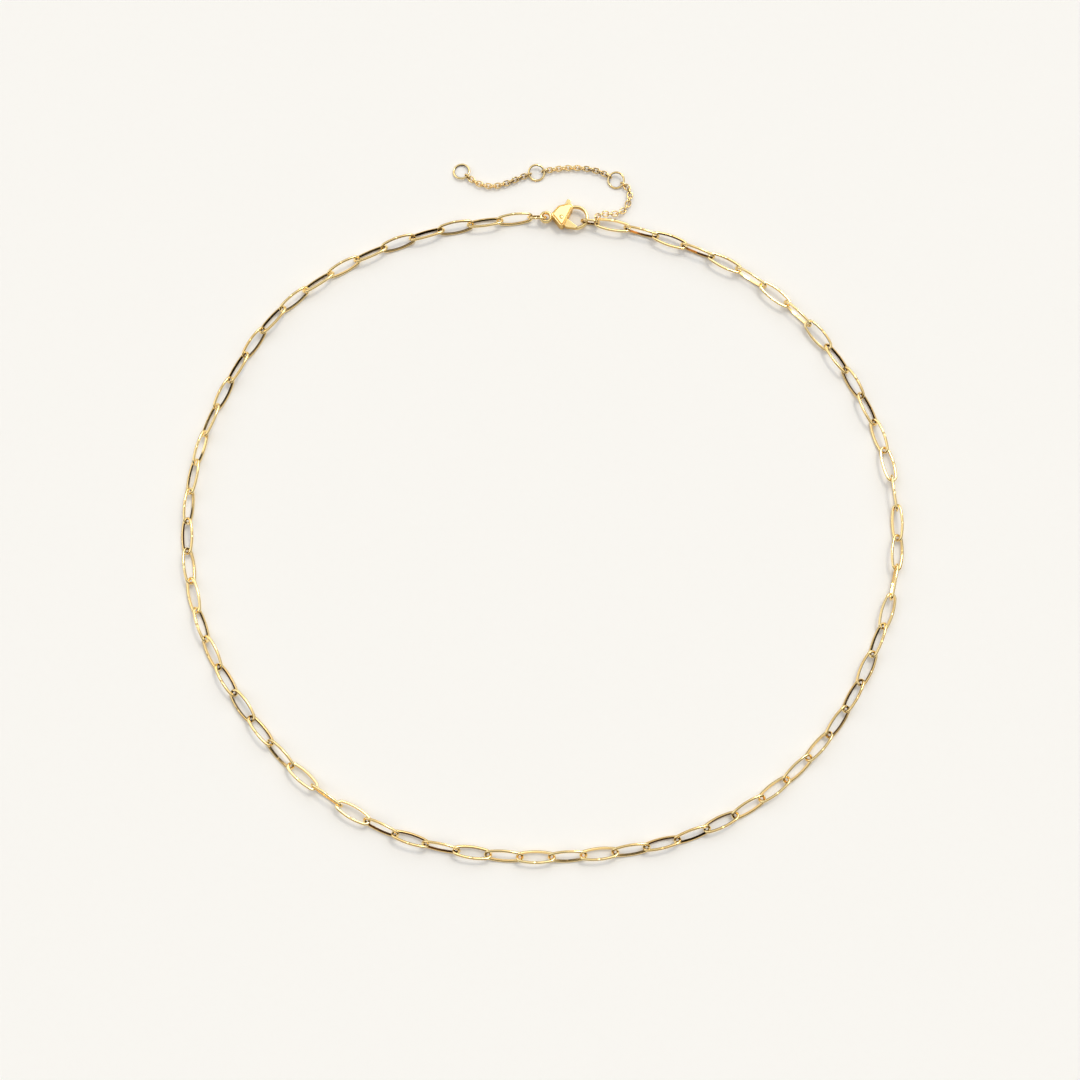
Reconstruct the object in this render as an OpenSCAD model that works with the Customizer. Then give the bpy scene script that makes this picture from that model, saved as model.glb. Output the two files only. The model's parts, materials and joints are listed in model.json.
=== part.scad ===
// Necklace of long oval links, lying in a loose ring, closed by a lobster clasp, with an
// extension chain of fine links and three rings. Millimetres, Z up, resting on Z = 0.

/* [Long links] */
// Number of long links in the chain, an even one
link_count = 68; // [60:2:76]
// Length of a long link over its ends
link_length = 7.14; // [6.8:0.02:8.4]
// Width of a long link over its sides
link_width = 2.78; // [2.74:0.02:3.1]
// Thickness of the long links' wire
link_wire = 0.54; // [0.46:0.02:0.56]
// Play between the wires of two long links, pulled straight
link_play = 0.36; // [0.34:0.02:0.42]

/* [Jump rings] */
// Length of an oval jump ring over its ends
jump_length = 3.8; // [3.6:0.1:4.4]
// Height of an oval jump ring, standing on its edge
jump_height = 2.6; // [2.5:0.05:2.8]
// Thickness of the jump rings' wire
jump_wire = 0.46; // [0.4:0.02:0.5]
// Play between a jump ring or extension ring and what passes through it
ring_play = 0.17; // [0.13:0.01:0.18]
// Lean of the jump ring at the clasp's eye, from upright
clasp_ring_lean = 30; // [24:1:34]
// Lean of the end jump ring, from upright
end_ring_lean = 4; // [2:1:8]

/* [Clasp] */
// Thickness of the clasp, panel to panel
clasp_thick = 2.4; // [2.2:0.05:2.6]
// Outer diameter of the clasp's eye
eye_outer = 2.4; // [2.3:0.05:2.7]
// Width of the metal round the eye
eye_metal = 0.55; // [0.5:0.01:0.58]
// Height of the eye
eye_height = 0.9; // [0.7:0.05:1]
// Distance from the pin to the middle of the eye, along the clasp
eye_reach = 2.9; // [2.8:0.05:3.2]
// Distance of the eye's middle from the pin, across the clasp
eye_rise = 0.4; // [0.2:0.05:0.6]
// Radius of the neck between the eye and the body
neck_radius = 0.45; // [0.35:0.01:0.5]
// Distance from the pin to the middle of the shoulder, along the clasp
shoulder_reach = 1.55; // [1.5:0.05:1.7]
// Distance from the pin to the middle of the shoulder, across the clasp
shoulder_rise = 2.2; // [2.1:0.05:2.3]
// Radius of the shoulder, where the claw leaves the body
shoulder_radius = 0.7; // [0.6:0.05:0.8]
// Distance from the pin to the middle of the back, across the clasp
back_rise = 1.55; // [1.4:0.05:1.7]
// Radius of the back, between the neck and the shoulder
back_radius = 0.95; // [0.8:0.05:1.05]
// Distance from the pin to the middle of the heel, across the clasp
heel_drop = 1.15; // [1:0.05:1.2]
// Radius of the heel, where the gate leaves the body
heel_radius = 0.55; // [0.45:0.05:0.65]
// Distance from the pin to the middle of the claw's bend, along the clasp
claw_reach = 2.85; // [2.8:0.05:3]
// Distance of the bend's middle from the pin, across the clasp
claw_rise = 0.3; // [0.2:0.05:0.4]
// Radius of the claw's bend, to the middle of its metal
claw_bend = 2.15; // [2.05:0.05:2.3]
// Width of the claw's metal, seen from above
claw_width = 0.55; // [0.45:0.01:0.6]
// Height of the claw's metal
claw_height = 0.9; // [0.8:0.05:1]
// Height of the raised panel on each face
panel_height = 0.15; // [0.1:0.01:0.2]
// Width of the rim round the raised panel
panel_rim = 0.28; // [0.2:0.02:0.32]

/* [Lever] */
// Thickness of the lever
lever_thick = 0.9; // [0.7:0.05:1]
// Gap between the lever and each wall of its slot
lever_gap = 0.1; // [0.06:0.01:0.12]
// Diameter of the pin that the lever turns on
pin_d = 0.7; // [0.6:0.02:0.8]
// Gap all round between the lever's bore and the pin
pin_gap = 0.04; // [0.02:0.005:0.08]
// Gap all round between the pin and its holes in the clasp's walls
pin_fit = 0.02; // [0.01:0.005:0.03]
// Radius of the lever's round middle
lever_hub = 0.72; // [0.65:0.01:0.8]
// Distance from the pin to the gate's tip
gate_reach = 3.45; // [3.35:0.05:3.5]
// Width of the gate at its tip
gate_tip = 0.5; // [0.4:0.02:0.55]
// Width of the gate at its elbow
gate_elbow = 1.3; // [1.1:0.05:1.4]
// Gap between the gate's tip and the claw's tip
tip_gap = 0.08; // [0.06:0.01:0.12]
// Distance from the pin to the top of the thumb tab
tab_reach = 4.25; // [4:0.05:4.4]
// Width of the thumb tab
tab_width = 0.85; // [0.7:0.05:1]
// Furthest that the lever swings open, in degrees
lever_swing = 25; // [15:1:30]

/* [Extension] */
// Number of fine links in each run of the extension
fine_count = 15; // [11:1:16]
// Length of a fine link
fine_length = 1.6; // [1.56:0.02:1.8]
// Width of a fine link
fine_width = 1.2; // [1.18:0.02:1.4]
// Thickness of the fine links' wire
fine_wire = 0.24; // [0.2:0.01:0.25]
// Play between the wires of two fine links, pulled straight
fine_play = 0.22; // [0.2:0.01:0.24]
// Outer diameter of the extension's rings
ring_outer = 3.4; // [3:0.1:4]
// Thickness of the extension rings' wire
ring_wire = 0.4; // [0.34:0.02:0.42]

/* [Hidden] */
$fn = 48;
wire_sides = 36;
gold = "goldenrod";
pale_gold = "palegoldenrod";

// Route of the long links, from the jump ring at the clasp's eye round to the end jump ring.
chain_route = [
    [-2, 63], [-18.5, 60.5], [-34.5, 54.5], [-48.5, 44.5], [-57.5, 31], [-63.5, 15], [-64.5, -2],
    [-60.5, -18.5], [-51.5, -33.5], [-40, -45.5], [-25, -54], [-8.5, -57.5], [8.5, -57.5],
    [25.5, -54.5], [40.5, -47], [52.5, -35.5], [60.5, -21.5], [65.5, -5.5], [65.5, 11.5],
    [60.5, 27.5], [51, 42], [38, 53], [22, 60], [11.5, 62.5]];
// Route of the extension, from the end jump ring to the middle of the far ring.
extension_route = [
    [11, 62.5], [11.3, 63.8], [12.5, 64.5], [14.4, 64.6], [16.3, 65.4], [17.4, 67], [17.8, 69],
    [17.2, 70.6], [15, 72], [12.5, 73.5], [9.9, 74.3], [6.5, 74.6], [3.2, 74.3], [-0.9, 73.5],
    [-3.5, 72.6], [-6.5, 71.3], [-9.2, 70.7], [-11.8, 71.2], [-13.8, 72.5], [-15.3, 73.9]];
// Twist along the chain: link number, and degrees that it rolls from flat about its own way.
// Neighbours stay 58 to 122 degrees apart, so that their wires keep clear of each other.
even_twist = [
    [2, 38], [4, 43], [8, 46], [10, 39], [14, 50], [18, 33], [20, 32], [22, 37], [24, 25], [26, 47],
    [28, 86], [30, 61], [32, 66], [34, 47], [36, 49], [38, 49], [40, 51], [42, 41], [44, 39],
    [46, 37], [48, 20], [50, 20], [52, 28], [54, 79], [56, -42], [58, -50], [60, -22], [62, 5],
    [64, 15], [68, 14]];
odd_twist = [
    [1, -56], [3, -46], [5, -47], [7, -52], [9, -58], [11, -52], [13, -55], [15, -62], [17, -55],
    [19, -42], [21, -53], [23, -43], [25, -40], [27, -24], [29, -12], [31, -36], [33, -24],
    [37, -24], [39, -37], [41, -27], [43, -30], [45, -35], [47, -45], [49, -54], [51, -86],
    [53, -44], [55, 16], [57, 39], [59, 41], [61, -85], [63, -82], [65, -88], [67, -86]];

link_bend = (link_width - link_wire) / 2;
link_pitch = link_length - 2 * link_wire - link_play;
fine_bend = (fine_width - fine_wire) / 2;
fine_pitch = fine_length - 2 * fine_wire - fine_play;
jump_bend = (jump_height - jump_wire) / 2;
jump_straight = jump_length - jump_height;
ring_bend = (ring_outer - ring_wire) / 2;

// A point on the smooth curve through four points, between the middle two.
function blend(a, b, c, d, t) =
    ((2 * b) + (c - a) * t + (2 * a - 5 * b + 4 * c - d) * t * t
     + (3 * b - a - 3 * c + d) * t * t * t) / 2;
function smooth(route, steps = 12) = [
    for (i = [0 : len(route) - 2], j = [0 : steps - 1])
        blend(i > 0 ? route[i - 1] : 2 * route[0] - route[1], route[i], route[i + 1],
              i < len(route) - 2 ? route[i + 2] : 2 * route[i + 1] - route[i], j / steps),
    route[len(route) - 1]];
function running_lengths(curve) = [
    for (i = 0, run = 0; i < len(curve);
         run = run + (i + 1 < len(curve) ? norm(curve[i + 1] - curve[i]) : 0), i = i + 1) run];
// The points that lie at the given lengths along a route, once it is scaled to a total length.
function marks(route, lengths, total) =
    let (curve = smooth(route), runs = running_lengths(curve), share = total / runs[len(runs) - 1],
         x_at = [for (i = [0 : len(curve) - 1]) [runs[i] * share, curve[i].x]],
         y_at = [for (i = [0 : len(curve) - 1]) [runs[i] * share, curve[i].y]])
    [for (s = lengths) share * [lookup(s, x_at), lookup(s, y_at)]];
// How far a round-edged bar stands off the middle of a jump ring's end bend, with play all round,
// where the bar is off the ring's level and isn't quite square to the ring.
function seat(width, height, off_level, lean, skew) =
    let (cap = (width + jump_wire * sin(skew)) / 2 / cos(skew),
         rise = abs(off_level) + (height - width) / 2 + jump_wire / 2 * tan(lean))
    sqrt(max(0, pow(jump_bend - jump_wire / 2 - ring_play - cap, 2) - pow(rise, 2)));
// Height of the middle of a loop of wire that rests on the surface, rolled from flat.
function lying(roll, bend, wire) = bend * abs(sin(roll)) + wire / 2;
// Height of each loop in a row, so that none sinks far below a higher neighbour.
function held(lie, drop) = [for (i = [0 : len(lie) - 1])
    max(lie[i], (i > 0 ? lie[i - 1] : 0) - drop, (i < len(lie) - 1 ? lie[i + 1] : 0) - drop)];

// Heights of what lies on the surface.
clasp_mid = clasp_thick / 2;
clasp_ring_mid = lying(90 - clasp_ring_lean, jump_bend, jump_wire);
end_ring_mid = lying(90 - end_ring_lean, jump_bend, jump_wire);
ring_hold = fine_bend + fine_wire / 2;

// Steps along the clasp, each from one joint of the necklace to the next.
link_crest = (link_wire + link_play) / 2;
link_seat = (link_wire + jump_wire) / 2 + ring_play;
eye_bend = (eye_outer - eye_metal) / 2;
eye_seat = seat(eye_metal, eye_height, clasp_ring_mid - clasp_mid, clasp_ring_lean, 0);
jump_step = link_crest - link_seat + jump_bend + jump_straight / 2;
eye_step = jump_step + jump_straight / 2 + eye_seat + eye_bend;
claw_turn = -22;
claw_mid = [claw_reach, claw_rise];
claw_hold = claw_mid + claw_bend * [cos(claw_turn), sin(claw_turn)];
end_turn = -7;
claw_seat = seat(claw_width, claw_height, end_ring_mid - clasp_mid, end_ring_lean,
                 end_turn - claw_turn);
end_line = [cos(end_turn), sin(end_turn)];
end_step = claw_seat + jump_straight / 2;
last_step = jump_bend + jump_straight / 2 - link_seat + link_crest;

// Middle of each joint between two long links, closed on the clasp at both ends.
chain_run = link_count * link_pitch;
loose_joints = marks(chain_route, [for (k = [0 : link_count]) k * link_pitch], chain_run);
eye_at = loose_joints[0] + [eye_step, 0];
pin_at = eye_at + [eye_reach, -eye_rise];
end_ring_at = pin_at + claw_hold + end_step * end_line;
chain_end = end_ring_at + last_step * end_line;
closing = (chain_end - loose_joints[link_count]) / link_count;
joints = [for (k = [0 : link_count]) loose_joints[k] + k * closing];

// Roll of each long link, and height of each joint: a link lies on the surface, or is held up by
// its steeper neighbours.
function link_roll(k) = lookup(k, k % 2 == 0 ? even_twist : odd_twist);
link_drop = 0.5;
ring_lift = 0.06;
link_lies = [for (k = [1 : link_count]) lying(link_roll(k), link_bend, link_wire)];
joint_heights = held([clasp_ring_mid + ring_lift,
                      for (k = [1 : link_count - 1]) max(link_lies[k - 1], link_lies[k]),
                      end_ring_mid + ring_lift], link_drop);

// The extension: where each run starts, and the ring's width between two runs.
fine_run = fine_count * fine_pitch;
ring_step = ring_bend - ring_wire / 2 - ring_play + fine_play / 2;
run_starts = [0, fine_run + 2 * ring_step, 2 * (fine_run + 2 * ring_step)];
extension_total = 3 * fine_run + 5 * ring_step;
hang_turn = 64;
hang_rise = jump_bend * sin(hang_turn);
hang_at = end_ring_at + (jump_straight / 2 + jump_bend * cos(hang_turn)) * end_line
          + hang_rise * sin(end_ring_lean) * [end_line.y, -end_line.x];
hang_height = end_ring_mid + hang_rise * cos(end_ring_lean);
hang_gap = 0.12;
hang_play = jump_wire / 2 + hang_gap - fine_play / 2;
climb_links = 8;
fine_drop = 0.1;
function run_joints(run) =
    let (found = marks(extension_route,
                       [for (k = [0 : fine_count]) run_starts[run] + k * fine_pitch],
                       extension_total))
    [for (p = found) p + extension_shift];
extension_first = marks(extension_route, [0, fine_pitch], extension_total);
extension_way = (extension_first[1] - extension_first[0]) / fine_pitch;
extension_shift = hang_at - hang_play * extension_way - extension_first[0];
hang_roll = atan2(-sin(hang_turn) * extension_way.y, cos(hang_turn));
far_ring_at = marks(extension_route, [extension_total], extension_total)[0] + extension_shift;

// Everything is centred on the surface below the middle of the joints' own box.
all_x = [for (p = joints) p.x];
all_y = concat([for (p = joints) p.y], [for (run = [0 : 2], p = run_joints(run)) p.y]);
middle = [max(all_x) + min(all_x), max(all_y) + min(all_y)] / 2;

module on_surface(at, height = 0) translate([at.x - middle.x, at.y - middle.y, height]) children();

// Lays a piece's own X axis from one joint to the next, rolled about it.
module between(start, end, roll) {
    way = end - start;
    translate((start + end) / 2 - [middle.x, middle.y, 0])
        rotate([0, -atan2(way.z, norm([way.x, way.y])), atan2(way.y, way.x)])
            rotate([roll, 0, 0]) children();
}

// A closed oval of round wire, lying flat, with its long way along X.
module oval_loop(length, width, wire) {
    bend = (width - wire) / 2;
    straight = length - width;
    for (side = [-1, 1]) {
        translate([0, side * bend, 0]) rotate([0, 90, 0])
            cylinder(h = straight, d = wire, center = true, $fn = wire_sides);
        translate([side * straight / 2, 0, 0]) rotate(-side * 90)
            rotate_extrude(angle = 180, $fn = wire_sides)
                translate([bend, 0]) circle(d = wire, $fn = wire_sides);
    }
}

module round_loop(outer, wire)
    rotate_extrude($fn = wire_sides)
        translate([(outer - wire) / 2, 0]) circle(d = wire, $fn = wire_sides);

module paperclip_chain() {
    color(gold)
        for (k = [1 : link_count])
            between([each joints[k - 1], joint_heights[k - 1]], [each joints[k], joint_heights[k]],
                    link_roll(k))
                oval_loop(link_length, link_width, link_wire);
}

module clasp_jump_ring() {
    color(gold) on_surface(joints[0] + [jump_step, 0], clasp_ring_mid)
        rotate([90 + clasp_ring_lean, 0, 0]) oval_loop(jump_length, jump_height, jump_wire);
}

module end_jump_ring() {
    color(gold) on_surface(end_ring_at, end_ring_mid)
        rotate([90 + end_ring_lean, 0, end_turn]) oval_loop(jump_length, jump_height, jump_wire);
}

// Round spots, each [x, y, radius], listed counter-clockwise and joined by a belt round them all.
module belt(spots) {
    polygon([for (i = [0 : len(spots) - 1])
        let (a = spots[i], b = spots[(i + 1) % len(spots)], way = [b.x - a.x, b.y - a.y],
             out = atan2(way.y, way.x) - 90 + asin((a.z - b.z) / norm(way)))
        each [[a.x + a.z * cos(out), a.y + a.z * sin(out)],
              [b.x + b.z * cos(out), b.y + b.z * sin(out)]]]);
    for (spot = spots) translate([spot.x, spot.y]) circle(r = spot.z);
}
module slab(height) linear_extrude(height, center = true) children();

// The clasp's outline spots, seen from above with the pin at the origin.
eye_spot = [-eye_reach, eye_rise];
neck_ahead = 0.3;
neck_up = 0.25;
neck_spot = [-eye_reach + eye_outer / 2 + neck_ahead, eye_rise + neck_up, neck_radius];
heel_ahead = 0.1;
heel_spot = [heel_ahead, -heel_drop, heel_radius];
shoulder_spot = [shoulder_reach, shoulder_rise, shoulder_radius];
back_spot = [0, back_rise, back_radius];
body_spots = [neck_spot, heel_spot, shoulder_spot, back_spot];

module clasp_walls() {
    slab(clasp_thick - 2 * panel_height) belt(body_spots);
    slab(clasp_thick) belt([for (spot = body_spots) spot - [0, 0, panel_rim]]);
}

// The clasp's eye: a round-edged ring on a short neck.
module clasp_eye() {
    neck_height = 0.8 * eye_height;
    neck_start = eye_metal / 2 - 0.05;
    neck_sink = 0.2;
    edge = (eye_height - eye_metal) / 2;
    translate(eye_spot) rotate_extrude() translate([eye_bend, 0]) {
        square([eye_metal, 2 * edge], center = true);
        for (side = [-1, 1]) translate([0, side * edge]) circle(d = eye_metal);
    }
    slab(neck_height)
        belt([[eye_spot.x + eye_bend, eye_spot.y, neck_start], neck_spot + [neck_sink, 0, 0]]);
}

// The claw: a round-edged bar, bent from the shoulder round the nose to the gate's tip.
claw_root_turn = 116;
claw_tip_turn = -100;
module clasp_claw() {
    edge = (claw_height - claw_width) / 2;
    difference() {
        translate(claw_mid) rotate(claw_tip_turn)
            rotate_extrude(angle = claw_root_turn - claw_tip_turn) translate([claw_bend, 0]) {
                square([claw_width, 2 * edge], center = true);
                for (side = [-1, 1]) translate([0, side * edge]) circle(d = claw_width);
            }
        intersection() {
            cylinder(r = gate_reach + tip_gap, h = 2 * clasp_thick, center = true);
            translate([0, -2 * claw_bend, -clasp_thick])
                cube([2 * claw_reach, 2 * claw_bend, 2 * clasp_thick]);
        }
    }
}

// The lever, closed: a round middle, a gate that reaches the claw's tip, and a thumb tab.
gate_turn = -31.5;
tab_turn = 67.5;
elbow_back = 0.2;
elbow_spot = [claw_reach / 2 - elbow_back, -heel_drop, gate_elbow / 2];
gate_spot = [gate_reach * cos(gate_turn), gate_reach * sin(gate_turn), gate_tip / 2];
tab_far = tab_reach - tab_width / 2;
tab_spot = [tab_far * cos(tab_turn), tab_far * sin(tab_turn), tab_width / 2];
module gate_outline(grow = 0)
    belt([[0, 0, lever_hub + grow], elbow_spot + [0, 0, grow], gate_spot + [0, 0, grow]]);
module tab_outline(grow = 0) belt([[0, 0, tab_width / 2 + grow], tab_spot + [0, 0, grow]]);

// The room that an arm sweeps from closed to open.
module swept(turn) {
    far = 2 * gate_reach;
    for (swing = [0, lever_swing]) rotate(swing) children();
    polygon([[0, 0], for (swing = [0, lever_swing / 2, lever_swing])
        far * [cos(turn + swing), sin(turn + swing)]]);
}

module clasp_body() {
    color(pale_gold) on_surface(pin_at, clasp_mid) {
        difference() {
            clasp_walls();
            slab(lever_thick + 2 * lever_gap) {
                swept(gate_turn) gate_outline(lever_gap);
                swept(tab_turn) tab_outline(lever_gap);
            }
            cylinder(d = pin_d + 2 * pin_fit, h = 2 * clasp_thick, center = true);
        }
        clasp_eye();
        clasp_claw();
    }
}

module clasp_pin() {
    pin_sink = 0.03;
    color(gold) on_surface(pin_at, clasp_mid)
        cylinder(d = pin_d, h = clasp_thick - 2 * pin_sink, center = true);
}

module clasp_lever() {
    color(gold) on_surface(pin_at, clasp_mid)
        slab(lever_thick) difference() {
            union() {
                intersection() {
                    gate_outline();
                    circle(r = gate_reach);
                }
                tab_outline();
            }
            circle(d = pin_d + 2 * pin_gap);
        }
}

// Degrees that each fine link rolls past the one before, to end a run at the given roll.
function fine_step(first, last) =
    let (turns = round(((fine_count - 1) * 90 - (last - first)) / 180))
    (last - first + 180 * turns) / (fine_count - 1);

module extender_run(run, first_roll) {
    found = run_joints(run);
    rolls = [for (k = [0 : fine_count - 1]) first_roll + k * fine_step(first_roll, 90)];
    lie = [for (roll = rolls) lying(roll, fine_bend, fine_wire)];
    rest = held([for (k = [0 : fine_count]) max(lie[min(k, fine_count - 1)], lie[max(k - 1, 0)])],
                fine_drop);
    climb = (hang_height - rest[climb_links]) / (climb_links * fine_pitch - hang_play);
    heights = [for (k = [0 : fine_count])
        run > 0 ? rest[k] : max(rest[k], hang_height + climb * (hang_play - k * fine_pitch))];
    color(gold)
        for (k = [0 : fine_count - 1])
            between([each found[k], heights[k]], [each found[k + 1], heights[k + 1]], rolls[k])
                oval_loop(fine_length, fine_width, fine_wire);
}

// A ring held up by the fine links on both sides, so it leans on the surface with one edge.
module extender_ring(run) {
    start = run_joints(run)[fine_count];
    end = run_joints(run + 1)[0];
    lean = asin((ring_hold - ring_wire / 2) / ring_bend);
    color(gold) between([each start, ring_hold], [each end, ring_hold], -lean)
        round_loop(ring_outer, ring_wire);
}

// The far ring, held up by the last fine link and resting on its far edge.
module far_ring() {
    held_at = run_joints(2)[fine_count];
    way = far_ring_at - held_at;
    tip_down = asin((ring_hold - ring_wire / 2) / (2 * ring_bend));
    color(gold) on_surface(far_ring_at, (ring_hold + ring_wire / 2) / 2)
        rotate([0, tip_down, atan2(way.y, way.x)]) round_loop(ring_outer, ring_wire);
}

module extender_run_1() extender_run(0, hang_roll);
module extender_run_2() extender_run(1, 90);
module extender_run_3() extender_run(2, 90);
module extender_ring_1() extender_ring(0);
module extender_ring_2() extender_ring(1);
module extender_ring_3() far_ring();

paperclip_chain();
clasp_jump_ring();
clasp_body();
clasp_pin();
clasp_lever();
end_jump_ring();
extender_run_1();
extender_run_2();
extender_run_3();
extender_ring_1();
extender_ring_2();
extender_ring_3();
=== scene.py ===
"""The looks of a gold necklace of long oval links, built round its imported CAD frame.

Every piece is modelled in millimetres round the origin with Blender's own tools, put where its CAD
node lies, and left with its place in its mesh, in metres.
"""

import json
import logging
import math
from dataclasses import dataclass, field
from enum import Enum
from typing import Callable, Optional, Sequence, Union

import bmesh
import bpy
import numpy as np
from mathutils import Matrix, Vector

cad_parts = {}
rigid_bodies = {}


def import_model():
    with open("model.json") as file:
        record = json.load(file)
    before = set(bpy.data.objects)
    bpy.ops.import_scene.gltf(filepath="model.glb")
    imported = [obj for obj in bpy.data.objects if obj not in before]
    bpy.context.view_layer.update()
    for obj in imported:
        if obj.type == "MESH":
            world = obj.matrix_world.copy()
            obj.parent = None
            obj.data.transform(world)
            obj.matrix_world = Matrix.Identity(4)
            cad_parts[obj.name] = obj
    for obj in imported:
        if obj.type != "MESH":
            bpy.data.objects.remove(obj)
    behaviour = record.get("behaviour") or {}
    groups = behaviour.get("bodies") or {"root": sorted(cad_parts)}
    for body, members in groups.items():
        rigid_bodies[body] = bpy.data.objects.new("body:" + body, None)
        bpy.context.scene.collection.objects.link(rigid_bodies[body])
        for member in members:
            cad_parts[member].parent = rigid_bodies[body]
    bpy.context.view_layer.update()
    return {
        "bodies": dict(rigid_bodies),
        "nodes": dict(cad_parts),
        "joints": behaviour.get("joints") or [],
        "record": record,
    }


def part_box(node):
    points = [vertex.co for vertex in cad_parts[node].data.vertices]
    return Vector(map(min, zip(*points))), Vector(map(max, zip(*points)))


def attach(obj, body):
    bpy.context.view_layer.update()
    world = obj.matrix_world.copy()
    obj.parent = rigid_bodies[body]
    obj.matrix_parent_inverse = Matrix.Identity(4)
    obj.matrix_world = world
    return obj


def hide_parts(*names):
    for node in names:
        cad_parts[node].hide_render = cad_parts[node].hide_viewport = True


LOG = logging.getLogger("necklace")
MM = 0.001

# Two sizes in millimetres this close are the same, and a face this square to a way lies across it.
NEAR = 1e-4
SQUARE = 0.99

Name = Union[str, int]
Triple = tuple[float, float, float]
Test = Callable[[Vector, Vector], bool]
Rule = Callable[[Vector, Vector], float]


class Body(Enum):
    """The CAD bodies that pieces ride on."""

    NECKLACE = "necklace"
    LEVER = "lever"


class Pick(Enum):
    """What a selection in edit mode is made of."""

    VERTS = "VERT"
    EDGES = "EDGE"
    FACES = "FACE"


class Cut(Enum):
    """How one solid works on another."""

    AWAY = "DIFFERENCE"
    COMMON = "INTERSECT"
    TOGETHER = "UNION"


# Shader maths.


class Socket:
    """A value in a node tree. Sums on it add Math nodes."""

    def __init__(self, bench: "NodeBench", link: bpy.types.NodeSocket) -> None:
        """Wraps an output.

        Args:
            bench: the tree that the socket is in.
            link: the output socket.
        """
        self.bench = bench
        self.link = link

    def _sum(self, operation: str, first: "Value", second: "Value") -> "Socket":
        """Adds a Math node on two values.

        Args:
            operation: the Math node's operation.
            first: its first value.
            second: its second value.

        Returns:
            The node's result.
        """
        return self.bench.node("ShaderNodeMath", {"operation": operation}, {0: first, 1: second})

    def __add__(self, other: "Value") -> "Socket":
        """This plus other."""
        return self._sum("ADD", self, other)

    def __radd__(self, other: "Value") -> "Socket":
        """Other plus this."""
        return self._sum("ADD", other, self)

    def __sub__(self, other: "Value") -> "Socket":
        """This less other."""
        return self._sum("SUBTRACT", self, other)

    def __rsub__(self, other: "Value") -> "Socket":
        """Other less this."""
        return self._sum("SUBTRACT", other, self)

    def __mul__(self, other: "Value") -> "Socket":
        """This times other."""
        return self._sum("MULTIPLY", self, other)

    def __rmul__(self, other: "Value") -> "Socket":
        """Other times this."""
        return self._sum("MULTIPLY", other, self)

    def clipped(self) -> "Socket":
        """This value, kept between 0 and 1."""
        return self.bench.node("ShaderNodeClamp", {}, {"Value": self})


Value = Union[Socket, float]
Colour = Union[Socket, Triple]


class NodeBench:
    """Makes the nodes of one material or world."""

    def __init__(self, owner: Union[bpy.types.Material, bpy.types.World]) -> None:
        """Starts on an emptied tree.

        Args:
            owner: what the nodes are for.
        """
        owner.use_nodes = True
        self.tree = owner.node_tree
        self.tree.nodes.clear()

    def node(
        self,
        kind: str,
        settings: dict[str, object],
        inputs: dict[Name, object],
        output: Name = 0,
    ) -> Optional[Socket]:
        """Adds a node.

        Args:
            kind: Blender's name of the node type.
            settings: its settings, such as a Math node's operation, set before its sockets.
            inputs: a value or a Socket for each input, by its name or number.
            output: the name or number of the output that is wanted.

        Returns:
            That output, or None for a node that has none.
        """
        made = self.tree.nodes.new(kind)
        for name, value in settings.items():
            setattr(made, name, value)
        for name, value in inputs.items():
            if isinstance(value, Socket):
                self.tree.links.new(value.link, made.inputs[name])
            else:
                made.inputs[name].default_value = value
        return Socket(self, made.outputs[output]) if made.outputs else None

    def mix(self, share: Value, first: Colour, second: Colour) -> Socket:
        """Mixes two colours.

        Args:
            share: how much of the second colour there is.
            first: the first colour.
            second: the second colour.

        Returns:
            The mixed colour.
        """
        ends = [v if isinstance(v, Socket) else (*v, 1.0) for v in (first, second)]
        return self.node(
            "ShaderNodeMix", {"data_type": "RGBA"}, {0: share, 6: ends[0], 7: ends[1]}, output=2
        )

    def noise(self, at: Socket, grain: float, detail: float) -> Socket:
        """Adds a noise pattern.

        Args:
            at: the place that it is read at, in metres.
            grain: the size of its patches, in metres.
            detail: how many finer layers it has.

        Returns:
            The noise, about a half.
        """
        inputs = {"Vector": at, "Scale": 1 / grain, "Detail": detail}
        return self.node("ShaderNodeTexNoise", {}, inputs)


# Finishes.


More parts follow.
